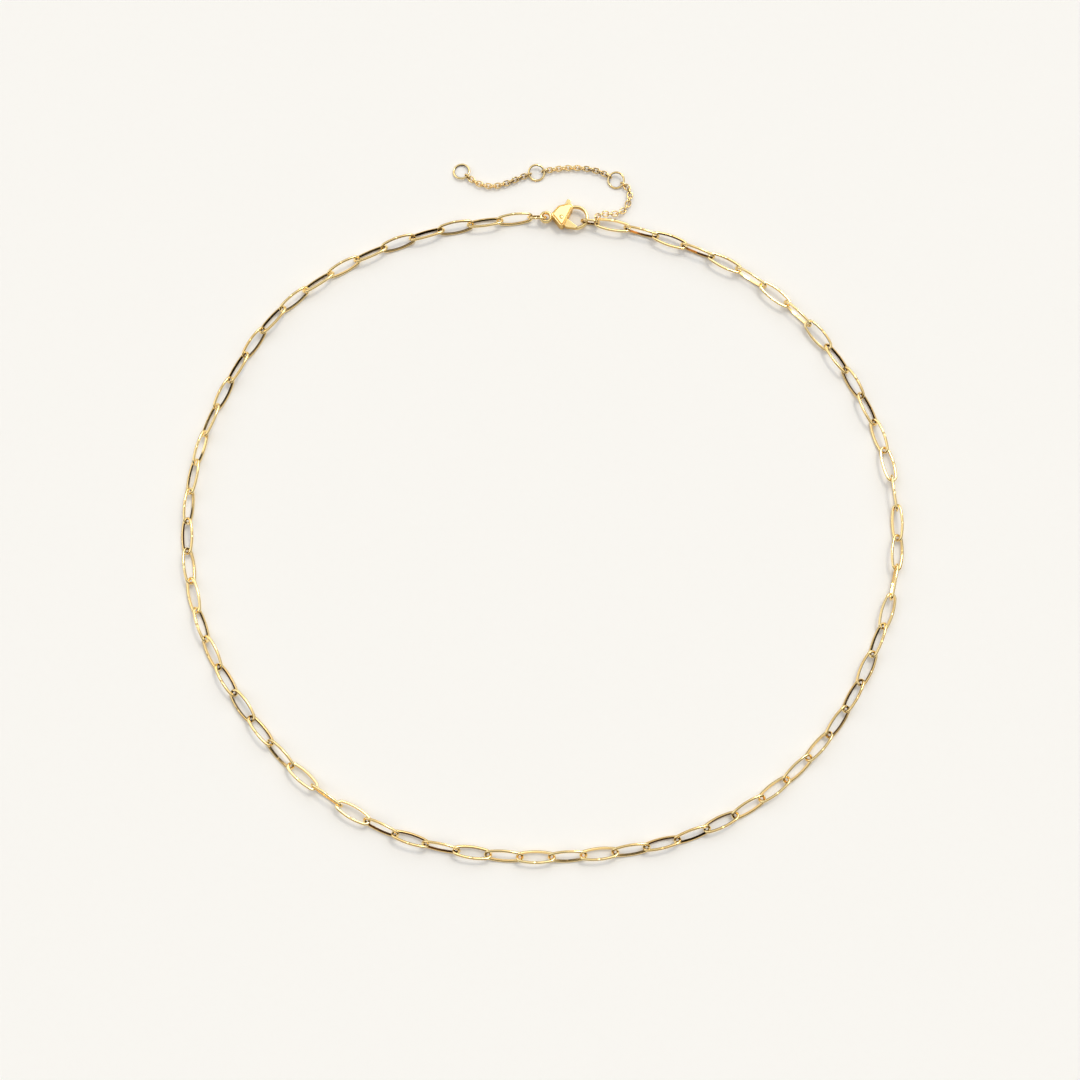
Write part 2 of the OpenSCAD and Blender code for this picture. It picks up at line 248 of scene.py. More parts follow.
@dataclass(frozen=True)
class GoldFinish:
    """A gold surface: its colours, how sharp its shine is, and the marks that wear leaves.

    Its material reads three values of a mesh, each 0 where the mesh hasn't got it: "tint", the tone
    of a link, "rub", how near a spot is to where pieces are rubbed, and "inside", how squarely it
    faces the inside of its loop. The rubbed ends are lighter, as wear. Inner faces are painted a
    deeper colour, and where the ends are rubbed or the tint is high they are painted near-black
    brown: a painted shadow and painted dark reflection between the wires and at the joints.
    """

    name: str
    bright: Triple
    deep: Triple
    painted_shade_colour: Triple
    shine: float
    haze: float
    patch: float
    mark: float
    mark_depth: float
    grain: Triple = (1.0, 1.0, 1.0)
    cloud_depth: float = 0.9
    tint_depth: float = 0.45
    rub_depth: float = 0.3
    bright_bias: float = 0.2
    # Where the painted shade on inner faces starts with the tint, how fast it comes, how deep the
    # inner colour is painted, and how much rougher the painted-dark spots are.
    painted_shade_tint: float = 0.45
    painted_shade_onset: float = 5.0
    inner_shade_depth: float = 0.6
    painted_shade_haze: float = 0.1
    mark_middle: float = 0.4
    bump: float = 0.3
    glance: Triple = (1.0, 0.82, 0.52)

    def material(self) -> bpy.types.Material:
        """Makes the material.

        Returns:
            The material, with colour, roughness and bump from its nodes.
        """
        made = bpy.data.materials.new(self.name)
        bench = NodeBench(made)
        here = bench.node("ShaderNodeTexCoord", {}, {}, output="Object")
        along = bench.node("ShaderNodeMapping", {}, {"Vector": here, "Scale": self.grain})
        cloud = bench.noise(here, self.patch, 3.0)
        marks = bench.noise(along, self.mark, 4.0)
        tint, rub_and_joint_shade, inside = (
            bench.node("ShaderNodeAttribute", {"attribute_name": value}, {}, output="Fac")
            for value in ("tint", "rub_and_joint_shade", "inside")
        )
        depth = cloud * self.cloud_depth + tint * self.tint_depth
        depth = depth - rub_and_joint_shade * self.rub_depth - self.bright_bias
        colour = bench.mix(depth.clipped(), self.bright, self.deep)
        # Painted shade: inner faces take the deeper colour, and near the rubbed ends or on loops of
        # high tint they are painted near-black brown, a painted shadow and painted dark reflection
        # between the wires and at the joints.
        shadow = (rub_and_joint_shade + (tint - self.painted_shade_tint) * self.painted_shade_onset).clipped()
        painted_shade = (inside * shadow).clipped()
        colour = bench.mix(inside * self.inner_shade_depth, colour, self.deep)
        colour = bench.mix(painted_shade, colour, self.painted_shade_colour)
        rough = self.shine + (marks - self.mark_middle) * self.haze + painted_shade * self.painted_shade_haze
        bump = bench.node(
            "ShaderNodeBump",
            {},
            {"Strength": self.bump, "Distance": self.mark_depth, "Height": marks},
        )
        shader = bench.node(
            "ShaderNodeBsdfPrincipled",
            {},
            {
                "Base Color": colour,
                "Metallic": 1.0,
                "Roughness": rough.clipped(),
                "Specular Tint": (*self.glance, 1.0),
                "Normal": bump,
            },
        )
        bench.node("ShaderNodeOutputMaterial", {}, {"Surface": shader})
        made.diffuse_color = (*self.bright, 1.0)
        return made


@dataclass(frozen=True)
class PaperFinish:
    """The pale sheet that the necklace lies on."""

    name: str = "cream_paper"
    light: Triple = (0.93, 0.92, 0.885)
    shade: Triple = (0.92, 0.908, 0.872)
    tooth: float = 1.2 * MM
    tooth_depth: float = 0.02 * MM
    bump: float = 0.08
    roughness: float = 0.75
    gloss: float = 0.2

    def material(self) -> bpy.types.Material:
        """Makes the material.

        Returns:
            The material of the floor.
        """
        made = bpy.data.materials.new(self.name)
        bench = NodeBench(made)
        here = bench.node("ShaderNodeTexCoord", {}, {}, output="Object")
        fibre = bench.noise(here, self.tooth, 5.0)
        colour = bench.mix(fibre, self.light, self.shade)
        bump = bench.node(
            "ShaderNodeBump",
            {},
            {"Strength": self.bump, "Distance": self.tooth_depth, "Height": fibre},
        )
        shader = bench.node(
            "ShaderNodeBsdfPrincipled",
            {},
            {
                "Base Color": colour,
                "Roughness": self.roughness,
                "Specular IOR Level": self.gloss,
                "Normal": bump,
            },
        )
        bench.node("ShaderNodeOutputMaterial", {}, {"Surface": shader})
        return made


# Near-black brown, painted on inner faces as painted shade and painted dark reflection.
PAINTED_SHADE_BROWN = (0.06, 0.022, 0.004)
POLISHED = GoldFinish(
    name="polished_gold_wire",
    bright=(1.0, 0.81, 0.42),
    deep=(0.97, 0.66, 0.26),
    painted_shade_colour=PAINTED_SHADE_BROWN,
    shine=0.10,
    haze=0.06,
    patch=2.6 * MM,
    mark=0.16 * MM,
    mark_depth=0.0008 * MM,
)
FINE_POLISHED = GoldFinish(
    name="polished_fine_wire",
    bright=(1.0, 0.79, 0.39),
    deep=(0.95, 0.62, 0.22),
    painted_shade_colour=PAINTED_SHADE_BROWN,
    shine=0.12,
    haze=0.06,
    patch=1.4 * MM,
    mark=0.1 * MM,
    mark_depth=0.0006 * MM,
)
CAST = GoldFinish(
    name="polished_cast_gold",
    bright=(0.98, 0.76, 0.35),
    deep=(0.90, 0.57, 0.19),
    painted_shade_colour=PAINTED_SHADE_BROWN,
    shine=0.16,
    haze=0.10,
    patch=2.0 * MM,
    mark=0.12 * MM,
    mark_depth=0.002 * MM,
)
SATIN = GoldFinish(
    name="satin_panel_gold",
    bright=(0.95, 0.79, 0.36),
    deep=(0.88, 0.66, 0.24),
    painted_shade_colour=PAINTED_SHADE_BROWN,
    shine=0.34,
    haze=0.16,
    patch=1.5 * MM,
    mark=0.05 * MM,
    mark_depth=0.004 * MM,
    grain=(1.0, 0.18, 1.0),
)


# The modelling bench.


class Bench:
    """Picks parts of a mesh by their place, and works on them with Blender's own tools."""

    @staticmethod
    def only(*objects: bpy.types.Object) -> None:
        """Selects these objects and nothing else, the first one active.

        Args:
            objects: what is selected.
        """
        bpy.ops.object.select_all(action="DESELECT")
        for obj in objects:
            obj.select_set(True)
        bpy.context.view_layer.objects.active = objects[0] if objects else None

    @staticmethod
    def start(name: str) -> bpy.types.Object:
        """Names the primitive that was just added.

        Args:
            name: its name.

        Returns:
            The primitive.
        """
        made = bpy.context.object
        made.name = name
        made.data.name = name
        return made

    @staticmethod
    def open(obj: bpy.types.Object) -> None:
        """Opens an object in edit mode with nothing selected.

        Args:
            obj: the object.
        """
        Bench.only(obj)
        bpy.ops.object.mode_set(mode="EDIT")
        bpy.ops.mesh.select_all(action="DESELECT")

    @staticmethod
    def close() -> None:
        """Leaves edit mode."""
        bpy.ops.object.mode_set(mode="OBJECT")

    @staticmethod
    def pick(obj: bpy.types.Object, kind: Pick, test: Test) -> None:
        """Selects what passes a test, in edit mode.

        Args:
            obj: the object that is open.
            kind: faces, edges or points.
            test: takes the middle and the normal (for an edge, its way) of each.
        """
        bpy.ops.mesh.select_mode(type=kind.value)
        bpy.ops.mesh.select_all(action="DESELECT")
        mesh = bmesh.from_edit_mesh(obj.data)
        if kind is Pick.FACES:
            found = [(f, f.calc_center_median(), f.normal) for f in mesh.faces]
        elif kind is Pick.EDGES:
            ends = [(e, e.verts[0].co, e.verts[1].co) for e in mesh.edges]
            found = [(edge, (first + last) / 2, last - first) for edge, first, last in ends]
        else:
            found = [(v, v.co, v.normal) for v in mesh.verts]
        for item, middle, way in found:
            if test(middle, way):
                item.select_set(True)
        mesh.select_flush_mode()
        bmesh.update_edit_mesh(obj.data)

    @staticmethod
    def join(name: str, objects: Sequence[bpy.types.Object]) -> bpy.types.Object:
        """Joins objects into one.

        Args:
            name: the name of the result.
            objects: what is joined.

        Returns:
            The joined object.
        """
        Bench.only(*objects)
        if len(objects) > 1:
            bpy.ops.object.join()
        return Bench.start(name)

    @staticmethod
    def cut(obj: bpy.types.Object, tool: bpy.types.Object, how: Cut) -> bpy.types.Object:
        """Works one solid on another and clears the tool away.

        Args:
            obj: the solid that stays.
            tool: the solid that works on it.
            how: what the two make.

        Returns:
            The solid that stays.
        """
        Bench.only(obj)
        modifier = obj.modifiers.new("cut", "BOOLEAN")
        modifier.operation = how.value
        modifier.solver = "EXACT"
        modifier.object = tool
        bpy.ops.object.modifier_apply(modifier=modifier.name)
        bpy.data.objects.remove(tool)
        return obj

    @staticmethod
    def skin(obj: bpy.types.Object, grain: float, strokes: int) -> None:
        """Casts overlapping solids as one skin, and polishes its edges soft.

        Args:
            obj: the solids, in one object.
            grain: the size of the skin's faces.
            strokes: how often the polish goes over it.
        """
        Bench.only(obj)
        modifier = obj.modifiers.new("cast", "REMESH")
        modifier.mode = "VOXEL"
        modifier.voxel_size = grain
        modifier.use_smooth_shade = True
        bpy.ops.object.modifier_apply(modifier=modifier.name)
        modifier = obj.modifiers.new("polish", "SMOOTH")
        modifier.factor = 0.5
        modifier.iterations = strokes
        bpy.ops.object.modifier_apply(modifier=modifier.name)

    @staticmethod
    def settle(obj: bpy.types.Object, place: Matrix) -> bpy.types.Object:
        """Puts a piece that was modelled in millimetres in its place, with the place in its mesh.

        Args:
            obj: the piece.
            place: its turn and its spot, in metres.

        Returns:
            The piece.
        """
        obj.matrix_world = place @ Matrix.Scale(MM, 4)
        Bench.only(obj)
        bpy.ops.object.transform_apply(location=True, rotation=True, scale=True)
        return obj

    @staticmethod
    def value(obj: bpy.types.Object, name: str, rule: Rule) -> None:
        """Writes a value on every point of a mesh, for its material to read.

        Args:
            obj: the piece.
            name: the value's name.
            rule: takes a point's place and normal, and gives the value there.
        """
        layer = obj.data.attributes.new(name, "FLOAT", "POINT")
        layer.data.foreach_set("value", [rule(v.co, v.normal) for v in obj.data.vertices])


def eased(share: float) -> float:
    """A share, kept between 0 and 1."""
    return min(1.0, max(0.0, share))


def dress(
    obj: bpy.types.Object, node: str, body: Body, finishes: Sequence[bpy.types.Material]
) -> None:
    """Gives a finished piece its materials and its part in the frame.

    Args:
        obj: the piece.
        node: the CAD node that it stands for.
        body: the CAD body that it rides on.
        finishes: its materials, in the order of its faces' numbers.
    """
    obj.data.materials.clear()
    for finish in finishes:
        obj.data.materials.append(finish)
    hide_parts(node)
    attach(obj, body.value)
    LOG.info("%s: %d faces, rides on %s", obj.name, len(obj.data.polygons), body.value)


# Loops of wire.


@dataclass
class WireLoop:
    """A loop of round wire: a round ring pulled long, as a link is bent on its mandrel.

    Sizes are in millimetres. The edges of an opened seam are rounded by a share of the wire, and
    where the loop is rubbed starts and fades over shares of its bend. Painted shade on its inside
    starts at one value of how squarely a spot faces it, and is full a fade further; near the rubbed
    ends it also places painted joint shade.
    """

    length: float
    width: float
    wire: float
    sides: int = 16
    steps: int = 32
    seam: float = 0.05
    seam_depth: float = 0.05
    opened: bool = False
    seam_round: float = 0.08
    crease: float = 50.0
    rub_start: float = 0.3
    rub_fade: float = 0.5
    inner_shade_from: float = 0.5
    inner_shade_fade: float = 0.3

    @property
    def bend(self) -> float:
        """Radius of the bends, to the middle of the wire."""
        return (self.width - self.wire) / 2

    @property
    def straight(self) -> float:
        """Length of the straight sides."""
        return self.length - self.width

    def _ring(self, name: str) -> bpy.types.Object:
        """Adds the round ring and pulls it long.

        Args:
            name: its name.

        Returns:
            The loop, flat on XY, its long way along X.
        """
        bpy.ops.object.select_all(action="DESELECT")
        bpy.ops.mesh.primitive_torus_add(
            major_segments=self.steps,
            minor_segments=self.sides,
            major_radius=self.bend,
            minor_radius=self.wire / 2,
        )
        loop = Bench.start(name)
        if self.straight > 0:
            Bench.open(loop)
            Bench.pick(loop, Pick.FACES, lambda at, way: at.x > 0)
            bpy.ops.mesh.extrude_region_move(
                TRANSFORM_OT_translate={"value": (self.straight, 0, 0)}
            )
            bpy.ops.mesh.select_all(action="SELECT")
            bpy.ops.transform.translate(value=(-self.straight / 2, 0, 0))
            Bench.close()
        return loop

    def _mark_seam(self, loop: bpy.types.Object) -> None:
        """Cuts the seam across the middle of one straight side.

        Args:
            loop: the loop.
        """
        quarter = self.straight / 4
        long_edge = 1.8 * quarter
        slack = 0.1 * long_edge

        def rim(at: Vector, way: Vector) -> bool:
            """Whether an edge goes round one of the wire's two ends at an opened seam."""
            return at.y > 0 and abs(abs(at.x) - self.seam / 2) < NEAR and abs(way.x) < NEAR

        Bench.open(loop)
        Bench.pick(
            loop,
            Pick.EDGES,
            lambda at, way: abs(at.x) < slack and at.y > 0 and abs(way.x) > long_edge,
        )
        bpy.ops.mesh.subdivide(number_cuts=3)
        for side in (-1, 1):
            Bench.pick(
                loop,
                Pick.VERTS,
                lambda at, way, side=side: at.y > 0 and abs(at.x - side * quarter) < slack,
            )
            bpy.ops.transform.translate(value=(side * (self.seam / 2 - quarter), 0, 0))
        if self.opened:
            self._pick_seam(loop)
            bpy.ops.mesh.delete(type="VERT")
            bpy.ops.mesh.select_mode(type="EDGE")
            bpy.ops.mesh.select_non_manifold()
            bpy.ops.mesh.fill_holes(sides=0)
            Bench.pick(loop, Pick.EDGES, rim)
            bpy.ops.mesh.bevel(offset=self.seam_round * self.wire, segments=2, affect="EDGES")
        else:
            self._draw_in(loop)
        Bench.close()

    def _pick_seam(self, loop: bpy.types.Object) -> None:
        """Selects the points of the wire in the middle of its seam.

        Args:
            loop: the loop, open in edit mode.
        """
        Bench.pick(loop, Pick.VERTS, lambda at, way: at.y > 0 and abs(at.x) < self.seam / 4)

    def _draw_in(self, loop: bpy.types.Object) -> None:
        """Makes the wire thinner where its two ends meet.

        Args:
            loop: the loop, open in edit mode.
        """
        self._pick_seam(loop)
        thinner = 1 - self.seam_depth
        bpy.ops.transform.resize(value=(1, thinner, thinner), center_override=(0, self.bend, 0))

    def model(self, name: str) -> bpy.types.Object:
        """Models the loop.

        Args:
            name: its name.

        Returns:
            The loop, in millimetres, flat on XY round the origin.
        """
        loop = self._ring(name)
        if self.straight > 0:
            self._mark_seam(loop)
        Bench.only(loop)
        bpy.ops.object.shade_smooth_by_angle(angle=math.radians(self.crease))
        start = self.straight / 2 + self.rub_start * self.bend
        fade = self.rub_fade * self.bend
        # Nearness to the rubbed ends: lighter there as wear, and where painted joint shade falls.
        Bench.value(loop, "rub_and_joint_shade", lambda at, way: eased((abs(at.x) - start) / fade))
        # Inner faces, where the material paints shade and dark reflection.
        Bench.value(
            loop,
            "inside",
            lambda at, way: eased((self._inward(at, way) - self.inner_shade_from) / self.inner_shade_fade),
        )
        return loop

    def _inward(self, at: Vector, way: Vector) -> float:
        """How squarely a spot on the wire faces the inside of the loop.

        Args:
            at: the spot.
            way: its normal.

        Returns:
            1 where it faces straight inwards, and -1 straight outwards.
        """
        turn = self.straight / 2
        middle = Vector((min(turn, max(-turn, at.x)), 0, 0))
        return -way.dot((Vector((at.x, at.y, 0)) - middle).normalized())


@dataclass
class BowedLoop(WireLoop):
    """A long loop whose sides bow out a little between two tight ends.

    Sizes are in millimetres, and the flats are shares of the wire's radius, from its middle.
    """

    nose: float = 0.82
    side_steps: int = 6
    nose_steps: int = 14
    inner_flat: float = 0.66
    face_flat: float = 0.86

    def _flatten(self, loop: bpy.types.Object) -> None:
        """Presses the round of wire flat on its inner side, and a little on its two faces.

        Args:
            loop: the round of wire, open in edit mode.
        """
        radius = self.wire / 2
        inner = self.bend - self.inner_flat * radius
        Bench.pick(loop, Pick.VERTS, lambda at, way: at.y < inner)
        bpy.ops.transform.resize(value=(1, 0, 1), center_override=(0, inner, 0))
        for side in (-1, 1):
            face = side * self.face_flat * radius
            Bench.pick(
                loop,
                Pick.VERTS,
                lambda at, way, side=side, face=face: side * (at.z - face) > 0,
            )
            bpy.ops.transform.resize(value=(1, 1, 0), center_override=(0, 0, face))

    def _ring(self, name: str) -> bpy.types.Object:
        """Adds a round of wire and spins it along the loop, from the middle of its upper side.

        Args:
            name: its name.

        Returns:
            The loop, flat on XY, its long way along X.
        """
        reach = (self.length - self.wire) / 2 - self.nose
        bow = (reach**2 / (self.bend - self.nose) + self.nose + self.bend) / 2
        swing = math.atan2(reach, bow - self.bend)
        lip = self.seam / (2 * bow)
        above, below = (0, self.bend - bow, 0), (0, bow - self.bend, 0)
        turns = (
            (above, lip, 1),
            (above, swing - lip, self.side_steps),
            ((reach, 0, 0), math.pi - 2 * swing, self.nose_steps),
            (below, 2 * swing, 2 * self.side_steps),
            ((-reach, 0, 0), math.pi - 2 * swing, self.nose_steps),
            (above, swing - lip, self.side_steps),
            (above, lip, 1),
        )
        bpy.ops.object.select_all(action="DESELECT")
        bpy.ops.mesh.primitive_circle_add(
            vertices=self.sides,
            radius=self.wire / 2,
            fill_type="NOTHING",
            location=(0, self.bend, 0),
            rotation=(0, math.pi / 2, 0),
        )
        loop = Bench.start(name)
        bpy.ops.object.transform_apply(location=True, rotation=True, scale=True)
        Bench.open(loop)
        self._flatten(loop)
        bpy.ops.mesh.select_all(action="SELECT")
        for middle, angle, steps in turns:
            bpy.ops.mesh.spin(steps=steps, angle=angle, center=middle, axis=(0, 0, 1))
        bpy.ops.mesh.select_all(action="SELECT")
        bpy.ops.mesh.remove_doubles(threshold=NEAR)
        bpy.ops.mesh.normals_make_consistent(inside=False)
        Bench.close()
        return loop

    def _mark_seam(self, loop: bpy.types.Object) -> None:
        """Draws the wire in where its two ends meet, in the middle of one side.

        Args:
            loop: the loop.
        """
        Bench.open(loop)
        self._draw_in(loop)
        Bench.close()


@dataclass
class LoopRun:
    """A row of equal loops, each laid where the CAD node has one.

    The loops' tones are read off a wave at wide steps, so that neighbours differ, and the tone also
    sets on which loops the painted shade inside is near-black. Points of the CAD node closer than
    the weld, in metres, are one point.
    """

    loop: WireLoop
    node: str
    name: str
    shade_start: float = 78.233
    shade_step: float = 12.9898
    weld: float = 1e-6

    def places(self, frame_node: bpy.types.Object) -> list[Matrix]:
        """Finds where the CAD node's loops lie.

        Args:
            frame_node: the CAD node's object, which isn't changed.

        Returns:
            The turn and the spot of each loop, in metres.
        """
        copy = frame_node.copy()
        copy.data = frame_node.data.copy()
        copy.parent = None
        bpy.context.scene.collection.objects.link(copy)
        Bench.open(copy)
        bpy.ops.mesh.select_all(action="SELECT")
        bpy.ops.mesh.remove_doubles(threshold=self.weld)
        bpy.ops.mesh.separate(type="LOOSE")
        Bench.close()
        found = []
        for part in list(bpy.context.selected_objects):
            points = np.array([v.co for v in part.data.vertices], float)
            rough = points.mean(0)
            _, _, ways = np.linalg.svd(points - rough, full_matrices=False)
            if np.linalg.det(ways) < 0:
                ways[2] *= -1
            spread = (points - rough) @ ways.T
            middle = rough + ((spread.max(0) + spread.min(0)) / 2) @ ways
            place = Matrix(ways.T.tolist()).to_4x4()
            place.translation = Vector(middle)
            found.append(place)
            bpy.data.objects.remove(part)
        return sorted(found, key=lambda m: (round(m.translation.x, 5), round(m.translation.y, 5)))

    def build(self, frame: dict, finish: bpy.types.Material) -> None:
        """Models one loop, copies it to every place, and dresses the row.

        Args:
            finish: the loops' material.
        """
        master = self.loop.model(self.name)
        copies = []
        for number, place in enumerate(self.places(frame["nodes"][self.node])):
            copy = master.copy()
            copy.data = master.data.copy()
            bpy.context.scene.collection.objects.link(copy)
            shade = 0.5 + 0.5 * math.sin(self.shade_step * number + self.shade_start)
            Bench.value(copy, "tint", lambda at, way, shade=shade: shade)
            copies.append(Bench.settle(copy, place))
        bpy.data.objects.remove(master)
        dress(Bench.join(self.name, copies), self.node, Body.NECKLACE, [finish])


# The clasp.


@dataclass(frozen=True)
class Spot:
    """A round spot of an outline: its middle and its radius, in millimetres."""

    x: float
    y: float
    radius: float

    def grown(self, by: float) -> "Spot":
        """This spot with a larger radius."""
        return Spot(self.x, self.y, self.radius + by)

    def turned(self, degrees: float) -> "Spot":
        """Turns this spot about the origin.

        Args:
            degrees: how far, to the left.

        Returns:
            The turned spot.
        """
        turn = math.radians(degrees)
        return Spot(
            self.x * math.cos(turn) - self.y * math.sin(turn),
            self.x * math.sin(turn) + self.y * math.cos(turn),
            self.radius,
        )


def slab(name: str, spots: Sequence[Spot], half: float, sides: int = 64) -> bpy.types.Object:
    """Models a slab whose outline is a belt round some spots.

    Args:
        name: its name.
        spots: the round spots.
        half: half its thickness.
        sides: how many sides a whole round has.

    Returns:
        The slab, level with the origin.
    """
    discs = []
    for spot in spots:
        bpy.ops.object.select_all(action="DESELECT")
        bpy.ops.mesh.primitive_cylinder_add(
            vertices=sides, radius=spot.radius, depth=2 * half, location=(spot.x, spot.y, 0)
        )
        discs.append(bpy.context.object)
    made = Bench.join(name, discs)
    bpy.ops.object.transform_apply(location=True, rotation=True, scale=True)
    if len(spots) > 1:
        Bench.open(made)
        bpy.ops.mesh.select_all(action="SELECT")
        bpy.ops.mesh.convex_hull(use_existing_faces=False, join_triangles=False)
        bpy.ops.mesh.select_all(action="SELECT")
        bpy.ops.mesh.dissolve_limited(angle_limit=math.radians(0.5))
        bpy.ops.mesh.normals_make_consistent(inside=False)
        Bench.close()
    return made


def rounded_ring(
    name: str, ring: Spot, metal: float, height: float, sides: int, steps: int
) -> bpy.types.Object:
    """Models a ring whose metal is higher than wide, with round edges.

    Args:
        name: its name.
        ring: its middle and its radius, to the middle of the metal.
        metal: the metal's width.
        height: the metal's height.
        sides: how many sides the metal has.
        steps: how many steps the ring has.

    Returns:
        The ring, level with the origin.
    """
    bpy.ops.object.select_all(action="DESELECT")
    bpy.ops.mesh.primitive_torus_add(
        location=(ring.x, ring.y, 0),
        major_segments=steps,
        minor_segments=sides,
        major_radius=ring.radius,
        minor_radius=metal / 2,
    )
    made = Bench.start(name)
    bpy.ops.object.transform_apply(location=True, rotation=True, scale=True)
    Bench.open(made)
    Bench.pick(made, Pick.FACES, lambda at, way: at.z > 0)
    bpy.ops.mesh.extrude_region_move(TRANSFORM_OT_translate={"value": (0, 0, height - metal)})
    bpy.ops.mesh.select_all(action="SELECT")
    bpy.ops.transform.translate(value=(0, 0, (metal - height) / 2))
    Bench.close()
    return made


@dataclass
class Clasp:
    """The lobster clasp, seen from above with its pin at the origin.

    Sizes are in millimetres and turns in degrees, and sides and steps count the flats of a round.
    The shade and wall values say where painted shade deepens the body's colour, by how far below
    the panel's top a spot is and how its normal lies, and the lever values where it deepens the
    lever's side walls; the satin values say which faces are a panel's.
    """

    half_thick: float = 1.2
    panel_height: float = 0.15
    panel_rim: float = 0.2
    groove: float = 0.15
    groove_depth: float = 0.12
    cheek_bevel: float = 0.09
    neck: Spot = Spot(-1.4, 0.65, 0.45)
    heel: Spot = Spot(0.1, -1.15, 0.55)
    shoulder: Spot = Spot(1.55, 2.2, 0.7)
    back: Spot = Spot(0.0, 1.55, 0.95)
    eye: Spot = Spot(-2.9, 0.4, 0.925)
    eye_metal: float = 0.55
    eye_height: float = 0.9
    eye_steps: int = 72
    neck_taper: float = 0.05
    neck_reach: float = 0.2
    neck_half: float = 0.36
    claw: Spot = Spot(2.85, 0.3, 2.15)
    claw_metal: float = 0.55
    claw_height: float = 0.9
    claw_root: float = 116.0
    claw_tip: float = -100.0
    metal_sides: int = 20
    fine_sides: int = 180
    lever_half: float = 0.45
    lever_gap: float = 0.1
    hub: Spot = Spot(0.0, 0.0, 0.72)
    elbow: Spot = Spot(1.225, -1.15, 0.65)
    gate: Spot = Spot(2.9416, -1.8026, 0.25)
    gate_reach: float = 3.45
    tip_gap: float = 0.08
    tab: Spot = Spot(1.4638, 3.5338, 0.425)
    notch_radius: float = 0.13
    notch_sides: int = 32
    swing: float = 25.0
    swing_steps: int = 4
    pin_radius: float = 0.35
    pin_play: float = 0.02
    bore_play: float = 0.04
    pin_sink: float = 0.03
    pin_sides: int = 48
    pin_bevel: float = 0.07
    pin_crease: float = 40.0
    grain: float = 0.045
    body_strokes: int = 5
    lever_strokes: int = 4
    # Painted shade in the clasp's groove, on its walls and inside its claw and eye.
    shade_reach: float = 0.1
    shade_from: float = 0.3
    shade_fade: float = 0.3
    shade_top: float = 0.03
    shade_foot: float = 0.6
    shade_groove: float = 0.06
    wall_shade_from: float = 0.9
    wall_shade_fade: float = 0.2
    lever_shade_wall: float = 0.75
    lever_shade_fade: float = 0.3
    satin_top: float = 0.02
    satin_level: float = 0.97

    def _sweep(self, spots: Sequence[Spot]) -> bpy.types.Object:
        """Models the room that an arm of the lever needs from closed to open.

        Args:
            spots: the arm's outline, closed.

        Returns:
            A solid, a gap larger all round than the arm.
        """
        wide = [spot.grown(self.lever_gap) for spot in spots]
        half = self.lever_half + self.lever_gap
        room = slab("room", wide, half)
        for turn in np.linspace(0, self.swing, self.swing_steps + 1)[1:]:
            swung = slab("swung", [spot.turned(turn) for spot in wide], half)
            room = Bench.cut(room, swung, Cut.TOGETHER)
        return room

    @staticmethod
    def _round_rims(solid: bpy.types.Object, half: float, bevel: float, segments: int) -> None:
        """Rounds the edges of a slab's two flat faces.

        Args:
            solid: the slab, open in edit mode.
            half: half its thickness.
            bevel: how far the rounding reaches.
            segments: how many steps it has.
        """
        Bench.pick(
            solid,
            Pick.EDGES,
            lambda at, way: abs(abs(at.z) - half) < NEAR and abs(way.z) < NEAR,
        )
        bpy.ops.mesh.bevel(offset=bevel, segments=segments, affect="EDGES")

    def _body_slab(self) -> bpy.types.Object:
        """Models the two cheeks with their grooves and raised panels, the slot and the bore.

        Returns:
            The solid, with its pin's middle at the origin.
        """
        base = self.half_thick - self.panel_height
        body = slab("cheeks", (self.neck, self.heel, self.shoulder, self.back), base)
        Bench.open(body)
        self._round_rims(body, base, self.cheek_bevel, 3)
        for side in (-1, 1):
            down, up = -side * self.groove_depth, side * (self.groove_depth + self.panel_height)
            Bench.pick(body, Pick.FACES, lambda at, way, side=side: way.z * side > SQUARE)
            for margin, move in ((self.panel_rim - self.cheek_bevel, down), (self.groove, up)):
                bpy.ops.mesh.inset(thickness=margin, depth=0)
                bpy.ops.mesh.extrude_region_move(TRANSFORM_OT_translate={"value": (0, 0, move)})
        Bench.close()
        Bench.cut(body, self._sweep((self.hub, self.elbow, self.gate)), Cut.AWAY)
        Bench.cut(body, self._sweep((Spot(0, 0, self.tab.radius), self.tab)), Cut.AWAY)
        bore = slab("bore", [Spot(0, 0, self.pin_radius + self.pin_play)], 2 * self.half_thick)
        return Bench.cut(body, bore, Cut.AWAY)

    def _claw(self) -> bpy.types.Object:
        """Models the claw: a ring of round-edged metal, parted between its root and its tip.

        Returns:
            The claw, with the pin's middle at the origin.
        """
        claw = rounded_ring(
            "claw",
            self.claw,
            self.claw_metal,
            self.claw_height,
            self.metal_sides,
            self.fine_sides,
        )
        middle = Vector((self.claw.x, self.claw.y, 0))
        root, tip = self.claw_root, self.claw_tip + 360

        def parted(at: Vector, way: Vector) -> bool:
            """Whether a face lies in the claw's mouth."""
            turn = math.degrees(math.atan2(at.y - middle.y, at.x - middle.x)) % 360
            return root < turn < tip

        Bench.open(claw)
        Bench.pick(claw, Pick.FACES, parted)
        bpy.ops.mesh.delete(type="FACE")
        bpy.ops.mesh.select_mode(type="EDGE")
        bpy.ops.mesh.select_non_manifold()
        bpy.ops.mesh.fill_holes(sides=0)
        Bench.close()
        reach = Spot(0, 0, self.gate_reach + self.tip_gap)
        room = slab("mouth", [reach], self.half_thick, self.fine_sides)
        Bench.open(room)
        bpy.ops.mesh.select_all(action="SELECT")
        bpy.ops.mesh.bisect(plane_co=(0, 0, 0), plane_no=(0, 1, 0), use_fill=True, clear_outer=True)
        bpy.ops.mesh.select_all(action="SELECT")
        bpy.ops.mesh.bisect(plane_co=(0, 0, 0), plane_no=(1, 0, 0), use_fill=True, clear_inner=True)
        Bench.close()
        return Bench.cut(claw, room, Cut.AWAY)

